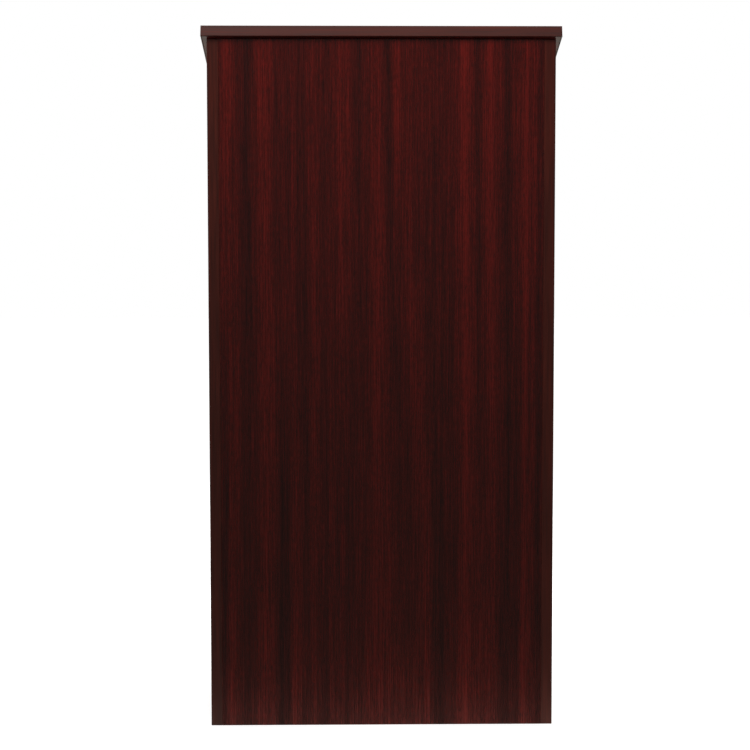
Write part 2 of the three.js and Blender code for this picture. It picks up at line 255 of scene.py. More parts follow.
def drill(radius, start, direction, depth, material=0, segments=40):
    """A round cutter from a point on a surface into it, standing a little proud of the surface."""
    proud = 1 * MM
    profile = [(0, -proud, 0), (radius, -proud, 0), (radius, depth, 0), (0, depth, 0)]
    across = X if abs(direction.dot(X)) < 0.9 else Y
    side = direction.cross(across).normalized()
    return placed(lathe(profile, segments), axes(start, side, direction), "drill", material)


# ---- Materials ----
class Nodes:
    """Short ways to add and join shader nodes in one node tree."""

    def __init__(self, tree):
        self.tree = tree

    def add(self, kind, **settings):
        node = self.tree.nodes.new(kind)
        inputs = settings.pop("inputs", {})
        for key, value in settings.items():
            setattr(node, key, value)
        for key, value in inputs.items():
            self.feed(node.inputs[key], value)
        return node

    def feed(self, socket, value):
        """Joins another socket to this one, or sets its value. A colour is given without its alpha."""
        if isinstance(value, bpy.types.NodeSocket):
            self.tree.links.new(value, socket)
        elif socket.type == "RGBA":
            socket.default_value = (*value, 1)
        else:
            socket.default_value = value

    def math(self, operation, a, b=0.0, c=0.0, clamp=False):
        node = self.add("ShaderNodeMath", operation=operation, use_clamp=clamp)
        for socket, value in zip(node.inputs, (a, b, c)):
            self.feed(socket, value)
        return node.outputs[0]

    def range(self, value, low, high, to_low=0.0, to_high=1.0):
        """Takes low..high smoothly to to_low..to_high, and stays at those beyond them."""
        node = self.add("ShaderNodeMapRange", interpolation_type="SMOOTHSTEP")
        ends = (("From Min", low), ("From Max", high), ("To Min", to_low), ("To Max", to_high))
        for key, item in (("Value", value), *ends):
            self.feed(node.inputs[key], item)
        return node.outputs["Result"]

    def mix(self, share, a, b):
        node = self.add("ShaderNodeMix", data_type="RGBA")
        self.feed(node.inputs["Factor"], share)
        self.feed(node.inputs["A"], a)
        self.feed(node.inputs["B"], b)
        return node.outputs["Result"]

    def scaled(self, vector, x, y, z):
        """The vector with each part multiplied, as for grain that is long one way."""
        return self.add("ShaderNodeVectorMath", operation="MULTIPLY",
                        inputs={0: vector, 1: (x, y, z)}).outputs[0]

    def noise(self, vector, scale=1.0, detail=2.0, roughness=0.5, distortion=0.0):
        return self.add("ShaderNodeTexNoise", inputs={
            "Vector": vector, "Scale": scale, "Detail": detail,
            "Roughness": roughness, "Distortion": distortion}).outputs["Fac"]

    def ramp(self, value, stops):
        """A colour ramp from (place, colour) stops."""
        node = self.add("ShaderNodeValToRGB", inputs={"Fac": value})
        elements = node.color_ramp.elements
        while len(elements) > 1:
            elements.remove(elements[-1])
        for index, (place, colour) in enumerate(stops):
            element = elements[0] if index == 0 else elements.new(place)
            element.position = place
            element.color = (*colour, 1)
        return node.outputs["Color"]


def new_material(name):
    """A material with only a principled surface: its node helper and that surface."""
    material = bpy.data.materials.new(name)
    material.use_nodes = True
    nodes = Nodes(material.node_tree)
    return material, nodes, material.node_tree.nodes["Principled BSDF"]


def bumped(nodes, surface, height, depth):
    """Raises the surface by a height from 0 to 1, times a depth in metres."""
    bump = nodes.add("ShaderNodeBump", inputs={"Strength": 1.0, "Distance": depth, "Height": height})
    nodes.feed(surface.inputs["Normal"], bump.outputs["Normal"])


# Ribbons across the front panel: millimetres from its middle, then how light each one is in the panel's
# upper and in its lower half, from 0 to 1.
RIBBONS = (
    (-292, 0.44, 0.52), (-270, 0.46, 0.26), (-257, 0.60, 0.60), (-226, 0.20, 0.24), (-203, 0.56, 0.60),
    (-184, 0.54, 0.46), (-170, 0.38, 0.12), (-148, 0.46, 0.64), (-130, 0.34, 0.30), (-115, 0.64, 0.50),
    (-98, 0.36, 0.24), (-80, 0.50, 0.54), (-58, 0.54, 0.40), (-38, 0.28, 0.38), (-5, 0.66, 0.60),
    (22, 0.26, 0.42), (48, 0.60, 0.44), (66, 0.46, 0.70), (88, 0.42, 0.26), (118, 0.38, 0.32),
    (143, 0.80, 0.76), (162, 0.30, 0.48), (184, 0.74, 0.62), (213, 0.26, 0.20), (242, 0.72, 0.64),
    (265, 0.36, 0.36), (280, 0.52, 0.62), (292, 0.44, 0.46),
)


def ribbon_group():
    """Mahogany's ribbon-stripe figure, from a point with x across, y along and z through the grain.

    Noise is scaled by so many features a metre across, along and through the grain.
    """
    group = bpy.data.node_groups.new("ribbon_grain", "ShaderNodeTree")
    group.interface.new_socket("Grain", in_out="INPUT", socket_type="NodeSocketVector")
    for name in ("Tone", "Fine", "Pores"):
        group.interface.new_socket(name, in_out="OUTPUT", socket_type="NodeSocketFloat")
    nodes = Nodes(group)
    grain = nodes.add("NodeGroupInput").outputs["Grain"]
    across, along, _ = nodes.add("ShaderNodeSeparateXYZ", inputs={"Vector": grain}).outputs

    # The ribbons wander slowly, and those just right of the middle lean, as beside a tall cathedral.
    wander = nodes.noise(nodes.scaled(grain, 5, 1.3, 5), detail=1)
    drift = nodes.math("MULTIPLY_ADD", wander, 0.012, -0.006)
    from_leaning = nodes.math("ABSOLUTE", nodes.math("SUBTRACT", across, 0.045))
    near = nodes.range(from_leaning, 0.01, 0.06, 1.0, 0.0)
    lean = nodes.math("MULTIPLY", near, nodes.math("MULTIPLY_ADD", along, 0.04, -0.024))
    bent = nodes.math("ADD", across, nodes.math("ADD", drift, lean))
    first, last = RIBBONS[0][0] * MM, RIBBONS[-1][0] * MM
    width = last - first
    share = nodes.math("DIVIDE", nodes.math("SUBTRACT", bent, first), width)
    share = nodes.math("PINGPONG", share, 1.0)
    upper = nodes.ramp(share, [((x * MM - first) / width, (light,) * 3) for x, light, _ in RIBBONS])
    lower = nodes.ramp(share, [((x * MM - first) / width, (light,) * 3) for x, _, light in RIBBONS])
    tone = nodes.mix(nodes.range(along, 0.35, 0.85), lower, upper)

    # Finer stripes, threads and short flecks lie over them.
    medium = nodes.noise(nodes.scaled(grain, 110, 1.3, 60), detail=3, roughness=0.6)
    fine = nodes.noise(nodes.scaled(grain, 560, 9, 300), detail=3, roughness=0.7)
    flecks = nodes.noise(nodes.scaled(grain, 520, 95, 300), detail=2)
    mottle = nodes.noise(nodes.scaled(grain, 45, 22, 30), detail=2)
    for layer, strength in ((medium, 0.85), (fine, 1.15), (flecks, 0.75), (mottle, 0.22)):
        tone = nodes.math("MULTIPLY_ADD", nodes.math("SUBTRACT", layer, 0.5), strength, tone)
    tone = nodes.math("MAXIMUM", tone, 0.0)

    dashes = nodes.noise(nodes.scaled(grain, 1500, 55, 900), detail=1, roughness=0.4)
    crowding = nodes.noise(nodes.scaled(grain, 160, 3, 100), detail=1)
    edge = nodes.math("MULTIPLY_ADD", crowding, -0.16, 0.70)
    pores = nodes.range(dashes, edge, nodes.math("ADD", edge, 0.10))

    out = nodes.add("NodeGroupOutput")
    nodes.feed(out.inputs["Tone"], tone)
    nodes.feed(out.inputs["Fine"], fine)
    nodes.feed(out.inputs["Pores"], pores)
    return group


ribbon_grain = ribbon_group()


def grain_point(nodes, across, along, shift):
    """The object's own coordinates turned so that x is across the grain and y along it."""
    point = nodes.add("ShaderNodeTexCoord").outputs["Object"]
    dots = []
    for axis in (across, along, across.cross(along)):
        dot = nodes.add("ShaderNodeVectorMath", operation="DOT_PRODUCT", inputs={0: point, 1: tuple(axis)})
        dots.append(dot.outputs["Value"])
    joined = nodes.add("ShaderNodeCombineXYZ", inputs={"X": dots[0], "Y": dots[1], "Z": dots[2]})
    return nodes.add("ShaderNodeVectorMath", operation="ADD",
                     inputs={0: joined.outputs[0], 1: shift}).outputs[0]


DEEP_RED = (0.013, 0.0009, 0.0007)
MID_RED = (0.043, 0.0021, 0.0014)
BRIGHT_RED = (0.108, 0.0050, 0.0034)
PORE_BROWN = (0.012, 0.0020, 0.0016)
WORN_BROWN = (0.13, 0.035, 0.020)
DEEP_BROWN = (0.023, 0.0030, 0.0016)
MID_BROWN = (0.042, 0.0053, 0.0027)
BRIGHT_BROWN = (0.070, 0.0086, 0.0043)
CHIP_DARK = (0.20, 0.115, 0.055)
CHIP_LIGHT = (0.46, 0.31, 0.17)
CHIP_DUST = (0.12, 0.07, 0.035)
NYLON_BLACK = (0.013, 0.013, 0.014)
NYLON_SCUFFED = (0.045, 0.045, 0.046)
WHITE = (1, 1, 1)


def mahogany(name, across, along, shift=(0, 0, 0), worn=False):
    """Satin mahogany laminate, its printed pores embossed too. A worn arris is paler in patches."""
    material, nodes, surface = new_material(name)
    point = grain_point(nodes, across, along, shift)
    grain = nodes.add("ShaderNodeGroup", node_tree=ribbon_grain, inputs={"Grain": point})
    tone, fine, pores = grain.outputs
    colour = nodes.ramp(tone, ((0.05, DEEP_RED), (0.5, MID_RED), (0.95, BRIGHT_RED)))
    colour = nodes.mix(nodes.math("MULTIPLY", pores, 0.75), colour, PORE_BROWN)
    if worn:
        rubbed = nodes.noise(nodes.scaled(point, 240, 60, 240), detail=2)
        colour = nodes.mix(nodes.range(rubbed, 0.45, 0.75, 0.1, 0.5), colour, WORN_BROWN)
    nodes.feed(surface.inputs["Base Color"], colour)
    nodes.feed(surface.inputs["Roughness"], nodes.range(fine, 0.2, 0.8, 0.22, 0.32))
    emboss = nodes.math("MULTIPLY_ADD", pores, -0.8, nodes.math("MULTIPLY_ADD", fine, 0.2, 0.8))
    bumped(nodes, surface, emboss, 0.03 * MM)
    return material


def banding(name, across, along, shift=(0, 0, 0), tone=1.0):
    """Edge band: browner than the boards, with a fine straight grain. A tone above 1 is lighter."""
    material, nodes, surface = new_material(name)
    point = grain_point(nodes, across, along, shift)
    streaks = nodes.noise(nodes.scaled(point, 700, 9, 700), detail=4, roughness=0.62)
    stripes = nodes.noise(nodes.scaled(point, 170, 5, 170), detail=3, roughness=0.6)
    clouds = nodes.noise(nodes.scaled(point, 30, 5, 30), detail=2)
    share = nodes.math("ADD", streaks, tone - 1.0)
    for layer, strength in ((stripes, 0.7), (clouds, 0.5)):
        share = nodes.math("MULTIPLY_ADD", nodes.math("SUBTRACT", layer, 0.5), strength, share)
    colour = nodes.ramp(share, ((0.22, DEEP_BROWN), (0.5, MID_BROWN), (0.78, BRIGHT_BROWN)))
    nodes.feed(surface.inputs["Base Color"], colour)
    nodes.feed(surface.inputs["Roughness"], nodes.range(streaks, 0.3, 0.7, 0.34, 0.46))
    bumped(nodes, surface, streaks, 0.02 * MM)
    return material


def particle_board():
    """The chipped core that shows inside drilled holes and pockets."""
    material, nodes, surface = new_material("board_core")
    point = nodes.add("ShaderNodeTexCoord").outputs["Object"]
    chips = nodes.add("ShaderNodeTexVoronoi", inputs={"Vector": point, "Scale": 900.0})
    dust = nodes.noise(point, 2600, detail=3)
    colour = nodes.ramp(chips.outputs["Color"], ((0.1, CHIP_DARK), (0.9, CHIP_LIGHT)))
    colour = nodes.mix(nodes.math("MULTIPLY", dust, 0.5), colour, CHIP_DUST)
    nodes.feed(surface.inputs["Base Color"], colour)
    nodes.feed(surface.inputs["Roughness"], nodes.range(dust, 0.2, 0.8, 0.75, 0.95))
    bumped(nodes, surface, chips.outputs["Distance"], 0.15 * MM)
    return material


def metal(name, bright, dull, roughness, spots, bump):
    """Bare or plated metal with a mottled tone, and a roughness that follows it."""
    material, nodes, surface = new_material(name)
    point = nodes.add("ShaderNodeTexCoord").outputs["Object"]
    clouds = nodes.noise(point, spots, detail=4, roughness=0.6)
    grit = nodes.noise(point, spots * 9, detail=2)
    mottle = nodes.math("MULTIPLY_ADD", grit, 0.4, nodes.math("MULTIPLY", clouds, 0.6))
    share = nodes.range(mottle, 0.35, 0.65)
    nodes.feed(surface.inputs["Base Color"], nodes.mix(share, dull, bright))
    nodes.feed(surface.inputs["Metallic"], 1.0)
    nodes.feed(surface.inputs["Roughness"], nodes.range(share, 0.0, 1.0, roughness + 0.14, roughness))
    bumped(nodes, surface, grit, bump)
    return material


def black_nylon():
    """Moulded black plastic with a fine spark-eroded texture."""
    material, nodes, surface = new_material("black_nylon")
    point = nodes.add("ShaderNodeTexCoord").outputs["Object"]
    texture = nodes.noise(point, 2400, detail=3)
    scuffs = nodes.noise(nodes.scaled(point, 160, 160, 30), detail=4, roughness=0.7)
    colour = nodes.mix(nodes.range(scuffs, 0.5, 0.8), NYLON_BLACK, NYLON_SCUFFED)
    nodes.feed(surface.inputs["Base Color"], colour)
    nodes.feed(surface.inputs["Roughness"], nodes.range(texture, 0.3, 0.7, 0.42, 0.62))
    bumped(nodes, surface, texture, 0.04 * MM)
    return material


core = particle_board()
cast_zinc = metal("cast_zinc", bright=(0.60, 0.59, 0.57), dull=(0.38, 0.37, 0.36),
                  roughness=0.34, spots=320, bump=0.02 * MM)
nickel = metal("nickel_plate", bright=(0.74, 0.71, 0.66), dull=(0.60, 0.57, 0.52),
               roughness=0.17, spots=240, bump=0.004 * MM)
plated_steel = metal("zinc_plated_steel", bright=(0.63, 0.64, 0.66), dull=(0.46, 0.46, 0.45),
                     roughness=0.27, spots=180, bump=0.01 * MM)
nylon = black_nylon()

# ---- Boards: the node's own block with eased edges, and clean holes cut in it ----
EASED = 1  # material number of a rounded arris
CORE = 2  # material number of the faces inside a hole
ARRIS = 0.35 * MM
BODY_BAND_ROUNDING = 0.6 * MM
TOP_BAND_ROUNDING = 1 * MM


def blank(node):
    """The node's solid without its holes, each flat side one face."""
    bm = bmesh.new()
    for vertex in frame["nodes"][node].data.vertices:
        bm.verts.new(vertex.co)
    bmesh.ops.remove_doubles(bm, verts=bm.verts, dist=1e-6)
    hull = bmesh.ops.convex_hull(bm, input=bm.verts)
    inside = set(only_vertices(hull["geom_interior"] + hull["geom_unused"]))
    bmesh.ops.delete(bm, geom=list(inside), context="VERTS")
    bmesh.ops.dissolve_limit(bm, angle_limit=math.radians(1), verts=bm.verts, edges=bm.edges)
    return bm


def eased(bm, edges, radius, segments=3):
    """Rounds edges over, and gives the rounding a material number of its own."""
    bmesh.ops.bevel(bm, geom=list(edges), offset=radius, segments=segments, profile=0.5,
                    affect="EDGES", material=EASED, clamp_overlap=True)


def board(node, cutters, across, along, shift=(0, 0, 0)):
    """A board whose arrises are eased, then drilled. Its core shows in the holes."""
    bm = blank(node)
    eased(bm, bm.edges, ARRIS)
    piece = linked(f"{node}_board", fresh_mesh(bm, node))
    for cutter in cutters:
        cut(piece, cutter)
    return show(node, piece, mahogany(node, across, along, shift),
                mahogany(f"{node}_arris", across, along, shift, worn=True), core)


def band(node, outward, along, radius, tone=1.0):
    """An edge strip, its outer arrises rounded over. Strips from other rolls differ a little in tone."""
    bm = blank(node)
    outer = max(bm.faces, key=lambda face: face.normal.dot(outward))
    eased(bm, outer.edges, radius, 5)
    piece = linked(f"{node}_strip", fresh_mesh(bm, node))
    across = outward.cross(along)
    material = banding(node, across, along, tuple(middle(node) * 7), tone)
    return show(node, piece, material, material)


# ---- Where the fittings go ----
CAM_RADIUS = (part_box("upper_shelf_left_cam")[1].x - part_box("upper_shelf_left_cam")[0].x) / 2
CAM_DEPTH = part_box("upper_shelf_left_cam")[1].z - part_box("upper_shelf_left_cam")[0].z
CAM_PLAY = 0.2 * MM
BOLT_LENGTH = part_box("upper_shelf_left_bolt")[1].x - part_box("upper_shelf_left_bolt")[0].x
BOLT_HOLE_RADIUS = 4 * MM
BOLT_HOLE_DEPTH = 50 * MM
SCREW_HOLE_RADIUS = 3.2 * MM
SCREW_HOLE_DEPTH = 20 * MM


def cam_joint(name, outward, out_of_face):
    """A cam fitting: outward points from the cam to its neighbour, and out_of_face to the open side."""
    return {
        "name": name,
        "cam": middle(f"{name}_cam"),
        "bolt": middle(f"{name}_bolt"),
        "outward": outward,
        "out_of_face": out_of_face,
    }


front_joints, upper_joints, base_joints, top_joints = [], [], [], []
for side, sign in SIDES.items():
    for level in ("lower", "upper"):
        front_joints.append(cam_joint(f"front_panel_{level}_{side}", X * sign, Y))
    upper_joints.append(cam_joint(f"upper_shelf_{side}", X * sign, -Z))
    base_joints.append(cam_joint(f"bottom_panel_{side}", X * sign, -Z))
    for end in ENDS:
        top_joints.append(cam_joint(f"top_{end}_{side}", top_normal, X * -sign))


def cam_cutters(joint):
    """The pocket for a cam, and the hole from it through the board's edge."""
    face = joint["cam"] + joint["out_of_face"] * CAM_DEPTH / 2
    pocket = drill(CAM_RADIUS + CAM_PLAY, face, -joint["out_of_face"], CAM_DEPTH + 0.3 * MM, CORE)
    hole = drill(BOLT_HOLE_RADIUS, joint["cam"], joint["outward"], BOLT_HOLE_DEPTH, CORE, 32)
    return [pocket, hole]


def all_cam_cutters(joints):
    return [cutter for joint in joints for cutter in cam_cutters(joint)]


def screw_hole(joint):
    """The hole in the neighbour that the bolt's screw goes into."""
    tip = joint["bolt"] + joint["outward"] * BOLT_LENGTH / 2
    bottom = tip + joint["outward"] * 0.3 * MM
    return drill(SCREW_HOLE_RADIUS, bottom, -joint["outward"], SCREW_HOLE_DEPTH, CORE, 32)


PIN_RADIUS = 2.5 * MM
PIN_HOLE_RADIUS = 2.6 * MM
PIN_HOLE_DEPTH = 11 * MM
PIN_ROWS = range(-3, 4)
PIN_PITCH = 32 * MM


def pin_mouth(end, side, sign, row=0):
    """Where a pin hole opens on a side's inner face. Row 0 is the one with the pin, under the shelf."""
    inner_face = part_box("front_panel")[1].x * sign
    shelf_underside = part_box("adjustable_shelf")[0].z
    height = shelf_underside - PIN_RADIUS + row * PIN_PITCH
    return Vector((inner_face, middle(f"shelf_pin_{end}_{side}").y, height))


def pin_holes(side, sign):
    """Two columns of holes in a side panel, with the pins in their middle rows."""
    mouths = [pin_mouth(end, side, sign, row) for end in ENDS for row in PIN_ROWS]
    return [drill(PIN_HOLE_RADIUS, mouth, X * sign, PIN_HOLE_DEPTH, CORE, 32) for mouth in mouths]


BRACKET_SHEET = 2.5 * MM
BRACKET_SCREW_DROP = 9 * MM  # from the bracket's upper edge
BRACKET_SCREW_OFFSET = 12 * MM  # from the bracket's middle
PILOT_RADIUS = 2 * MM
PILOT_DEPTH = 15 * MM
WOOD_SCREW_RADIUS = 1.9 * MM
STUD_RADIUS = 5 * MM
KEY_HOLE_RADIUS = 6 * MM
KEY_HOLE_DEPTH = 25 * MM  # more than the bottom panel's thickness


def screw_places(end, side, sign):
    """Where two wood screws pass through a bracket's upright leg, on the face that their heads bear on."""
    low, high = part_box(f"leveller_bracket_{end}_{side}")
    face = (high.x if sign > 0 else low.x) - sign * BRACKET_SHEET
    centre = Vector((face, (low.y + high.y) / 2, high.z - BRACKET_SCREW_DROP))
    return [centre - Y * BRACKET_SCREW_OFFSET, centre + Y * BRACKET_SCREW_OFFSET]


def pilot_holes(side, sign):
    """Holes in a side panel that the brackets' screws are driven into."""
    mouths = [mouth for end in ENDS for mouth in screw_places(end, side, sign)]
    return [drill(PILOT_RADIUS, mouth, X * sign, PILOT_DEPTH, CORE, 24) for mouth in mouths]


def key_holes():
    """Holes through the bottom panel, over the levellers' studs."""
    cutters = []
    for side in SIDES:
        for end in ENDS:
            stud = middle(f"leveller_stud_{end}_{side}")
            under = Vector((stud.x, stud.y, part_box("bottom_panel")[0].z))
            cutters.append(drill(KEY_HOLE_RADIUS, under, Z, KEY_HOLE_DEPTH, CORE))
    return cutters


def side_cutters(side, sign):
    """All that is drilled in a side panel: for bolts, for the top's cams, for shelf pins and brackets."""
    neighbours = front_joints + upper_joints + base_joints
    cutters = [screw_hole(joint) for joint in neighbours if joint["name"].endswith(side)]
    cutters += all_cam_cutters([joint for joint in top_joints if joint["name"].endswith(side)])
    return cutters + pin_holes(side, sign) + pilot_holes(side, sign)


# ---- Boards: each with the directions across and along its grain, and a shift so that no two match ----
board("front_panel", all_cam_cutters(front_joints), X, Z)
for side, sign in SIDES.items():
    board(f"{side}_side_panel", side_cutters(side, sign), Y * sign, Z, shift=(0.35 + 0.4 * sign, 0.1, 0.3))
board("reading_top", [screw_hole(joint) for joint in top_joints], down_slope, X, shift=(0.9, 2.1, 0.7))
board("paper_stop", [], down_slope, X, shift=(1.4, 3.3, 0.2))
board("upper_shelf", all_cam_cutters(upper_joints), Y, X, shift=(2.3, 1.2, 0.5))
board("bottom_panel", all_cam_cutters(base_joints) + key_holes(), Y, X, shift=(3.1, 0.4, 1.1))
board("adjustable_shelf", [], Y, X, shift=(4.2, 2.7, 0.8))
board("toe_kick", [], Z, X, shift=(5.3, 1.9, 0.1))

# ---- Edge bands ----
for side, sign in SIDES.items():
    band(f"{side}_side_front_edge_band", -Y, Z, BODY_BAND_ROUNDING, tone=0.98 + 0.06 * sign)
    band(f"{side}_side_rear_edge_band", Y, Z, BODY_BAND_ROUNDING)
    band(f"top_{side}_edge_band", X * sign, down_slope, TOP_BAND_ROUNDING)
band("top_front_edge_band", -down_slope, X, TOP_BAND_ROUNDING, tone=0.96)
band("top_rear_edge_band", down_slope, X, TOP_BAND_ROUNDING)
for shelf in ("upper_shelf", "adjustable_shelf", "bottom_panel"):
    band(f"{shelf}_edge_band", Y, X, BODY_BAND_ROUNDING)


# ---- Cam fittings ----
def cut_cross(piece, face, length, width, depth):
    """Cuts a driver's cross, its middle at a matrix's origin and its depth along that matrix's -Z."""
    outline = rectangle(-length / 2, -width / 2, length / 2, width / 2, width / 3)
    sunk = Matrix.Translation((0, 0, -depth))
    for angle in (0, math.pi / 2):
        arm = prism(outline, depth + 1 * MM)
        cut(piece, placed(arm, face @ Matrix.Rotation(angle, 4, "Z") @ sunk, "arm"))


def cam(joint):
    """A cast cam: a rimmed drum with jaws for the bolt's head, a driver's cross and an arrow mark.

    It is cut in its own axes, +X to the bolt and +Z out of the board, and only then put in place.
    """
    half = CAM_DEPTH / 2
    profile = [(0, -half, 0), (CAM_RADIUS - 0.6 * MM, -half, 0.4 * MM), (CAM_RADIUS, -half + 0.8 * MM, 0),
               (CAM_RADIUS, half, 0.35 * MM), (CAM_RADIUS - 1.3 * MM, half, 0.2 * MM),
               (CAM_RADIUS - 1.6 * MM, half - 0.35 * MM, 0.1 * MM), (0, half - 0.35 * MM, 0)]
    piece = linked(f"{joint['name']}_cam_casting", fresh_mesh(lathe(profile, 64), "cam"))
    gap = 3.6 * MM  # half of the jaws' opening
    jaws = [(-2 * MM, -gap, 3 * MM), (9 * MM, -gap, 0), (9 * MM, gap, 0), (-2 * MM, gap, 3 * MM)]
    cut(piece, placed(prism(jaws, 2 * gap), Matrix.Translation((0, 0, -gap)), "jaws"))
    face = Matrix.Translation((0, 0, half))
    cut_cross(piece, face, length=7.6 * MM, width=1.5 * MM, depth=1.9 * MM)
    arrow = prism([(6.0 * MM, 0, 0), (4.6 * MM, 1.0 * MM, 0), (4.6 * MM, -1.0 * MM, 0)], 2 * MM)
    cut(piece, placed(arrow, face @ Matrix.Translation((0, 0, -0.6 * MM)), "arrow"))
    piece.data.transform(axes(joint["cam"], joint["outward"], joint["out_of_face"]))
    show(f"{joint['name']}_cam", piece, cast_zinc)


def bolt(joint):
    """A turned bolt: a head with rounded corners, a neck, a shank and a coarse screw."""
    start, tip = -BOLT_LENGTH / 2, BOLT_LENGTH / 2
    screw_start = tip - 12 * MM
    head, neck, shank, screw = 3 * MM, 1.8 * MM, 2.8 * MM, 3 * MM
    profile = [(0, start, 0), (head - 0.6 * MM, start, 0.5 * MM), (head, start + 1.6 * MM, 0.6 * MM),
               (head, start + 4.6 * MM, 0.5 * MM), (neck, start + 6.4 * MM, 0.4 * MM),
               (neck, start + 9 * MM, 0.4 * MM), (shank, start + 11 * MM, 0.3 * MM),
               (shank, screw_start - 0.5 * MM, 0.2 * MM), (screw, screw_start, 0),
               (screw, tip - 2 * MM, 0), (1.2 * MM, tip, 0.2 * MM), (0, tip, 0)]
    thread = (screw_start, tip - 0.6 * MM, 2 * MM, 0.8 * MM)
    place = axes(joint["bolt"], joint["out_of_face"], joint["outward"])
    piece = linked(f"{joint['name']}_bolt_turning", placed(lathe(profile, 32, 3, thread), place, "bolt"))
    show(f"{joint['name']}_bolt", piece, cast_zinc)


for joint in front_joints + upper_joints + base_joints + top_joints:
    cam(joint)
    bolt(joint)


# ---- Shelf pins ----
def shelf_pin(end, side, sign):
    """A spoon pin: a shank in the hole, a collar, a rounded tongue under the shelf and a web below it."""
    node = f"shelf_pin_{end}_{side}"
    place = axes(pin_mouth(end, side, sign), X * -sign, Z)
    collar = 4 * MM
    shank = [(0, -10 * MM, 0), (PIN_RADIUS, -10 * MM, 0.8 * MM), (PIN_RADIUS, -1 * MM, 0),
             (PIN_RADIUS, 0, 0), (collar, 0, 0.2 * MM), (collar, 1.2 * MM, 0.3 * MM), (0, 1.2 * MM, 0)]
    level = place @ axes(Vector(), -Y, X)
    piece = linked(f"{node}_plated", placed(lathe(shank), level, "pin"))

    half = 3.5 * MM  # half of the tongue's width
    tongue = [(0, -half, 0), (13 * MM, -half, 3 * MM), (13 * MM, half, 3 * MM), (0, half, 0)]
    lifted = place @ Matrix.Translation((0.4 * MM, 0, 0.68 * MM))
    join(piece, placed(prism(tongue, 1.8 * MM), lifted, "tongue"))

    web = [(0, -3.4 * MM, 0.6 * MM), (4.4 * MM, 0, 0.6 * MM), (4.4 * MM, 1.4 * MM, 0), (0, 1.4 * MM, 0)]
    upright = place @ Matrix.Rotation(math.pi / 2, 4, "X") @ Matrix.Translation((0.4 * MM, 0, -0.8 * MM))
    join(piece, placed(prism(web, 1.6 * MM), upright, "web"))

    # The collar is cut level with the top of the shank, so that the shelf lies flat.
    above = prism(rectangle(-2 * MM, -6 * MM, 6 * MM, 6 * MM), 4 * MM)
    cut(piece, placed(above, place @ Matrix.Translation((0, 0, PIN_RADIUS)), "above"))
    show(node, piece, nickel)


# ---- Levellers ----
def is_free_corner(edge, reach, rise):
    """Whether an edge of the bracket's angle runs through the sheet at the end of a leg."""
    a, b = (vertex.co for vertex in edge.verts)
    tiny = 0.01 * MM
    at_end = min(a.x, b.x) > reach - tiny or min(a.y, b.y) > rise - tiny
    return at_end and abs(a.z - b.z) < tiny


def bracket(end, side, sign):
    """A bent steel angle, its upright leg screwed to the side, with a nut welded on its foot."""
    node = f"leveller_bracket_{end}_{side}"
    low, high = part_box(node)
    reach, rise, width = high.x - low.x, high.z - low.z, high.y - low.y
    heel = Vector((high.x if sign > 0 else low.x, (low.y + high.y) / 2, low.z))
    place = axes(heel, X * -sign, Z)
    sheet = BRACKET_SHEET
    angle = prism([(0, 0, 3.2 * MM), (reach, 0, 0), (reach, sheet, 0),
                   (sheet, sheet, 1 * MM), (sheet, rise, 0), (0, rise, 0)], width)
    free_corners = [edge for edge in angle.edges if is_free_corner(edge, reach, rise)]
    bmesh.ops.bevel(angle, geom=free_corners, offset=5 * MM, segments=6, profile=0.5, affect="EDGES")
    upright = place @ Matrix.Rotation(math.pi / 2, 4, "X") @ Matrix.Translation((0, 0, -width / 2))
    piece = linked(f"{node}_plate", placed(angle, upright, "angle"))
    stud_reach = abs(middle(f"leveller_stud_{end}_{side}").x - heel.x)
    at_stud = place @ Matrix.Translation((stud_reach, 0, 0))
    nut = prism(hexagon(9 * MM, 0.4 * MM), 8 * MM, 3)
    join(piece, placed(nut, at_stud @ Matrix.Translation((0, 0, 1 * MM)), "nut"))
    nut_bore = STUD_RADIUS + 0.08 * MM
    cut(piece, drill(nut_bore, at_stud @ Vector((0, 0, -0.5 * MM)), Z, 12 * MM, segments=64))
    for mouth in screw_places(end, side, sign):
        cut(piece, drill(WOOD_SCREW_RADIUS + 0.3 * MM, mouth, X * sign, 5 * MM))
    show(node, piece, plated_steel)


def wood_screw(name, mouth, sign):
    """A pan-head wood screw through a bracket, with a driver's cross in its head."""
    shank, head, crown = WOOD_SCREW_RADIUS, 4 * MM, 2.4 * MM
    profile = [(0, -14 * MM, 0), (shank, -11.5 * MM, 0), (shank, 0, 0), (head, 0, 0.2 * MM),
               (head, 1.1 * MM, 0.6 * MM), (2.9 * MM, 2.3 * MM, 1.2 * MM), (0, crown, 0)]
    thread = (-13 * MM, -3 * MM, 1.8 * MM, 0.7 * MM)
    place = axes(mouth, Z, X * -sign)
    piece = linked(name, placed(lathe(profile, 32, thread=thread), place, "screw"))
    top = place @ Matrix.Translation((0, 0, crown))
    cut_cross(piece, top, length=4.4 * MM, width=0.9 * MM, depth=1.5 * MM)
    piece.data.materials.append(plated_steel)
    smooth(piece)
    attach(piece, body_of["front_panel"])


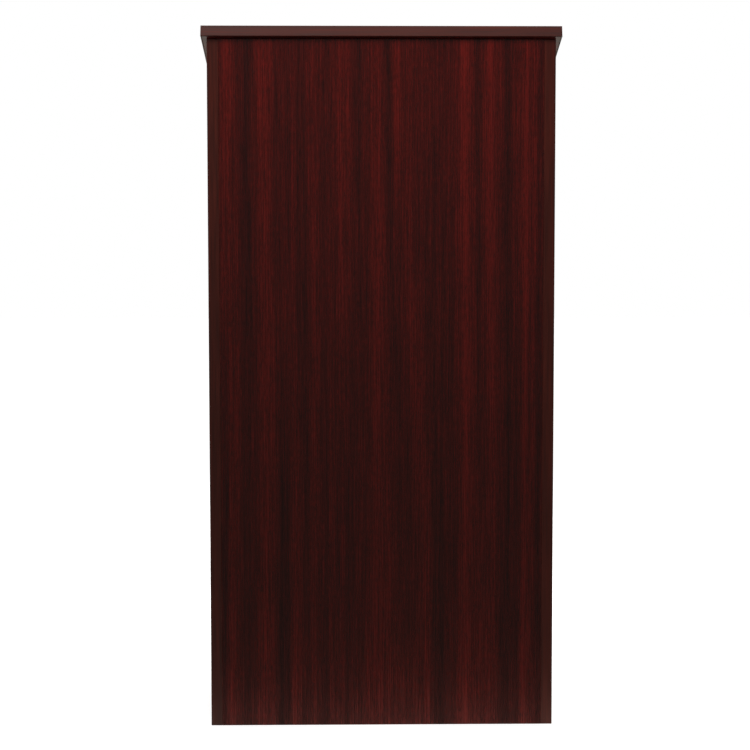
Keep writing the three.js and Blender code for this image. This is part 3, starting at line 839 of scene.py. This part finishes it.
def stud(end, side):
    """A threaded stud with a hexagon socket, and a round foot that turns in its pad."""
    node = f"leveller_stud_{end}_{side}"
    low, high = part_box(node)
    length = high.z - low.z
    foot, neck = 6 * MM, 3.6 * MM
    profile = [(0, 0, 0), (foot, 0, 0.8 * MM), (foot, 3.4 * MM, 0.5 * MM), (neck, 5 * MM, 0.3 * MM),
               (neck, 9.8 * MM, 0.3 * MM), (STUD_RADIUS, 11.3 * MM, 0.2 * MM),
               (STUD_RADIUS, length - 1 * MM, 0), (STUD_RADIUS - 1 * MM, length, 0), (0, length, 0)]
    thread = (12 * MM, length - 0.5 * MM, 1.5 * MM, 0.9 * MM)
    centre = middle(node)
    place = Matrix.Translation((centre.x, centre.y, low.z))
    piece = linked(f"{node}_thread", placed(lathe(profile, 40, 3, thread), place, "stud"))
    socket = prism(hexagon(2.9 * MM, 0.2 * MM), 8 * MM, 2)
    cut(piece, placed(socket, place @ Matrix.Translation((0, 0, length - 6 * MM)), "socket"))
    show(node, piece, plated_steel)


def pad(end, side):
    """A moulded foot: a rounded flange, hollowed below, and a collar round the socket for the stud."""
    node = f"leveller_pad_{end}_{side}"
    low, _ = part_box(node)
    flange, mouth, socket, top = 17 * MM, 3.9 * MM, 6.3 * MM, 11 * MM
    profile = [(0, 0.5 * MM, 0), (9 * MM, 0.5 * MM, 0.2 * MM), (9.6 * MM, 0, 0.2 * MM),
               (flange, 0, 1.4 * MM), (flange, 5.5 * MM, 1.8 * MM), (10 * MM, 6.5 * MM, 1 * MM),
               (8.5 * MM, top, 0.8 * MM), (mouth, top, 0.4 * MM), (mouth, 8.4 * MM, 0.2 * MM),
               (socket, 7.4 * MM, 0), (socket, 2.4 * MM, 0), (0, 2.4 * MM, 0)]
    centre = middle(node)
    place = Matrix.Translation((centre.x, centre.y, low.z))
    piece = linked(f"{node}_moulding", placed(lathe(profile, 72), place, "pad"))
    show(node, piece, nylon)


for side, sign in SIDES.items():
    for end in ENDS:
        shelf_pin(end, side, sign)
        bracket(end, side, sign)
        for number, mouth in enumerate(screw_places(end, side, sign), 1):
            wood_screw(f"leveller_screw_{end}_{side}_{number}", mouth, sign)
        stud(end, side)
        pad(end, side)


# ---- Studio ----
CHALK = (0.5, 0.5, 0.5)
WARM_WHITE = (1, 0.93, 0.82)
SKY_WHITE = (1, 0.97, 0.92)
MIRRORED_PATCH = Vector((-0.42, -0.65, 0.70)).normalized()


def studio_floor():
    """A pale floor that glows rather than being lit. To the camera it glows white, a little less near the
    pulpit so that its shading shows there. What the object mirrors of it is dim, but for a bright pool just
    behind it. As light it is painted light: a bright pool under and just behind the base, which lights the
    panels' lower edges, and dim in front.
    """
    bm = bmesh.new()
    bmesh.ops.create_grid(bm, x_segments=1, y_segments=1, size=30)
    floor = linked("floor", fresh_mesh(bm, "floor"))
    material = bpy.data.materials.new("glowing_floor")
    material.use_nodes = True
    material.node_tree.nodes.clear()
    nodes = Nodes(material.node_tree)
    path = nodes.add("ShaderNodeLightPath")
    point = nodes.add("ShaderNodeNewGeometry").outputs["Position"]
    _, depth, _ = nodes.add("ShaderNodeSeparateXYZ", inputs={"Vector": point}).outputs
    distance = nodes.add("ShaderNodeVectorMath", operation="LENGTH", inputs={0: point}).outputs["Value"]
    seen = nodes.add("ShaderNodeAddShader")
    # To the camera the floor glows white, less near the pulpit so that its shading shows there.
    glow = nodes.add("ShaderNodeEmission", inputs={
        "Color": WHITE, "Strength": nodes.range(distance, 0.4, 2.0, 0.78, 1.0)})
    chalk = nodes.add("ShaderNodeBsdfDiffuse", inputs={"Color": CHALK})
    nodes.feed(seen.inputs[0], glow.outputs[0])
    nodes.feed(seen.inputs[1], chalk.outputs[0])
    from_pool = nodes.add("ShaderNodeVectorMath", operation="MULTIPLY_ADD",
                          inputs={0: point, 1: (1.3, 1, 0), 2: (0, -1, 0)}).outputs[0]
    reach = nodes.add("ShaderNodeVectorMath", operation="LENGTH", inputs={0: from_pool}).outputs["Value"]
    pool = nodes.range(reach, 0.8, 1.4, 0.88, 0.26)
    mirrored = nodes.range(depth, -0.2, 0.3, 0.125, pool)
    # Painted light: the floor glows brightly under and just behind the base, which lights the panels' lower
    # edges, and dimly in front.
    bounced = nodes.range(depth, -0.38, -0.24, 0.12, 2.30)
    glossy = path.outputs["Is Glossy Ray"]
    strength = nodes.math("ADD", nodes.math("MULTIPLY", mirrored, glossy),
                          nodes.math("MULTIPLY", bounced, nodes.math("SUBTRACT", 1.0, glossy)))
    given = nodes.add("ShaderNodeEmission", inputs={"Color": WARM_WHITE, "Strength": strength})
    either = nodes.add("ShaderNodeMixShader", inputs={0: path.outputs["Is Camera Ray"]})
    nodes.feed(either.inputs[1], given.outputs[0])
    nodes.feed(either.inputs[2], seen.outputs[0])
    out = nodes.add("ShaderNodeOutputMaterial")
    nodes.feed(out.inputs["Surface"], either.outputs[0])
    floor.data.materials.append(material)


def studio_world():
    """White to the camera. As light it is dim, and dimmer on the audience's side than on the speaker's.

    Polished faces also mirror a bright ceiling, and a brighter patch high up on the audience's left.
    """
    world = bpy.data.worlds.new("studio")
    bpy.context.scene.world = world
    world.use_nodes = True
    nodes = Nodes(world.node_tree)
    background = world.node_tree.nodes["Background"]
    path = nodes.add("ShaderNodeLightPath")
    direction = nodes.add("ShaderNodeTexCoord").outputs["Generated"]
    _, depth, height = nodes.add("ShaderNodeSeparateXYZ", inputs={"Vector": direction}).outputs
    behind = nodes.range(depth, -0.35, 0.6, 0.14, 0.34)
    zenith = nodes.range(height, 0.72, 0.9, 1.0, 0.4)
    ceiling = nodes.math("MULTIPLY", nodes.range(height, 0.25, 0.80, 0.0, 0.62), zenith)
    aim = nodes.add("ShaderNodeVectorMath", operation="DOT_PRODUCT",
                    inputs={0: direction, 1: MIRRORED_PATCH}).outputs["Value"]
    mirrored = nodes.math("ADD", ceiling, nodes.range(aim, 0.86, 0.97, 0.0, 1.3))
    fill = nodes.range(height, 0.1, 1.0, 0.0, 0.20)
    glossy = path.outputs["Is Glossy Ray"]
    above = nodes.math("ADD", nodes.math("MULTIPLY", mirrored, glossy),
                       nodes.math("MULTIPLY", fill, nodes.math("SUBTRACT", 1.0, glossy)))
    glow = nodes.math("MAXIMUM", behind, above)
    seen = path.outputs["Is Camera Ray"]
    nodes.feed(background.inputs["Color"], nodes.mix(seen, SKY_WHITE, WHITE))
    nodes.feed(background.inputs["Strength"], nodes.math("MAXIMUM", glow, seen))


def softbox(name, place, target, width, height, power, roll=0):
    """A lamp that lights surfaces but isn't mirrored in them. Roll, in degrees, turns it about its beam."""
    light = bpy.data.lights.new(name, "AREA")
    light.shape = "RECTANGLE"
    light.size, light.size_y = width, height
    light.energy = power
    lamp = bpy.data.objects.new(name, light)
    bpy.context.scene.collection.objects.link(lamp)
    lamp.location = place
    lamp.visible_glossy = False
    lamp.visible_camera = False
    light.cycles.use_multiple_importance_sampling = False
    aim = (Vector(target) - Vector(place)).to_track_quat("-Z", "Y")
    lamp.rotation_euler = (aim @ Quaternion(Z, math.radians(roll))).to_euler()


def camera():
    """From the audience's side, a little above the body's middle and a little left of it."""
    lens = bpy.data.cameras.new("camera")
    lens.lens = 71.62
    lens.sensor_width = 36
    viewer = bpy.data.objects.new("camera", lens)
    bpy.context.scene.collection.objects.link(viewer)
    viewer.location = (-0.0486, -2.7404, 0.7551)
    turn = Matrix.Rotation(math.radians(-0.846), 4, "Z")
    tilt = Matrix.Rotation(math.radians(90 - 3.486), 4, "X")
    roll = Matrix.Rotation(math.radians(-0.041), 4, "Z")
    viewer.rotation_euler = (turn @ tilt @ roll).to_euler()
    bpy.context.scene.camera = viewer


studio_floor()
studio_world()
softbox("key", (-0.18, -1.05, 1.72), target=(0, -0.2, 0.8), width=1.0, height=0.55, power=15.5, roll=-35)
softbox("overhead", (0, 0.35, 2.6), target=(0, 0.1, 1.0), width=1.4, height=1.0, power=22)
softbox("speaker", (0.5, 2.2, 1.7), target=(0, 0, 0.6), width=1.6, height=1.2, power=62)
camera()
bpy.context.scene.view_settings.view_transform = "Standard"
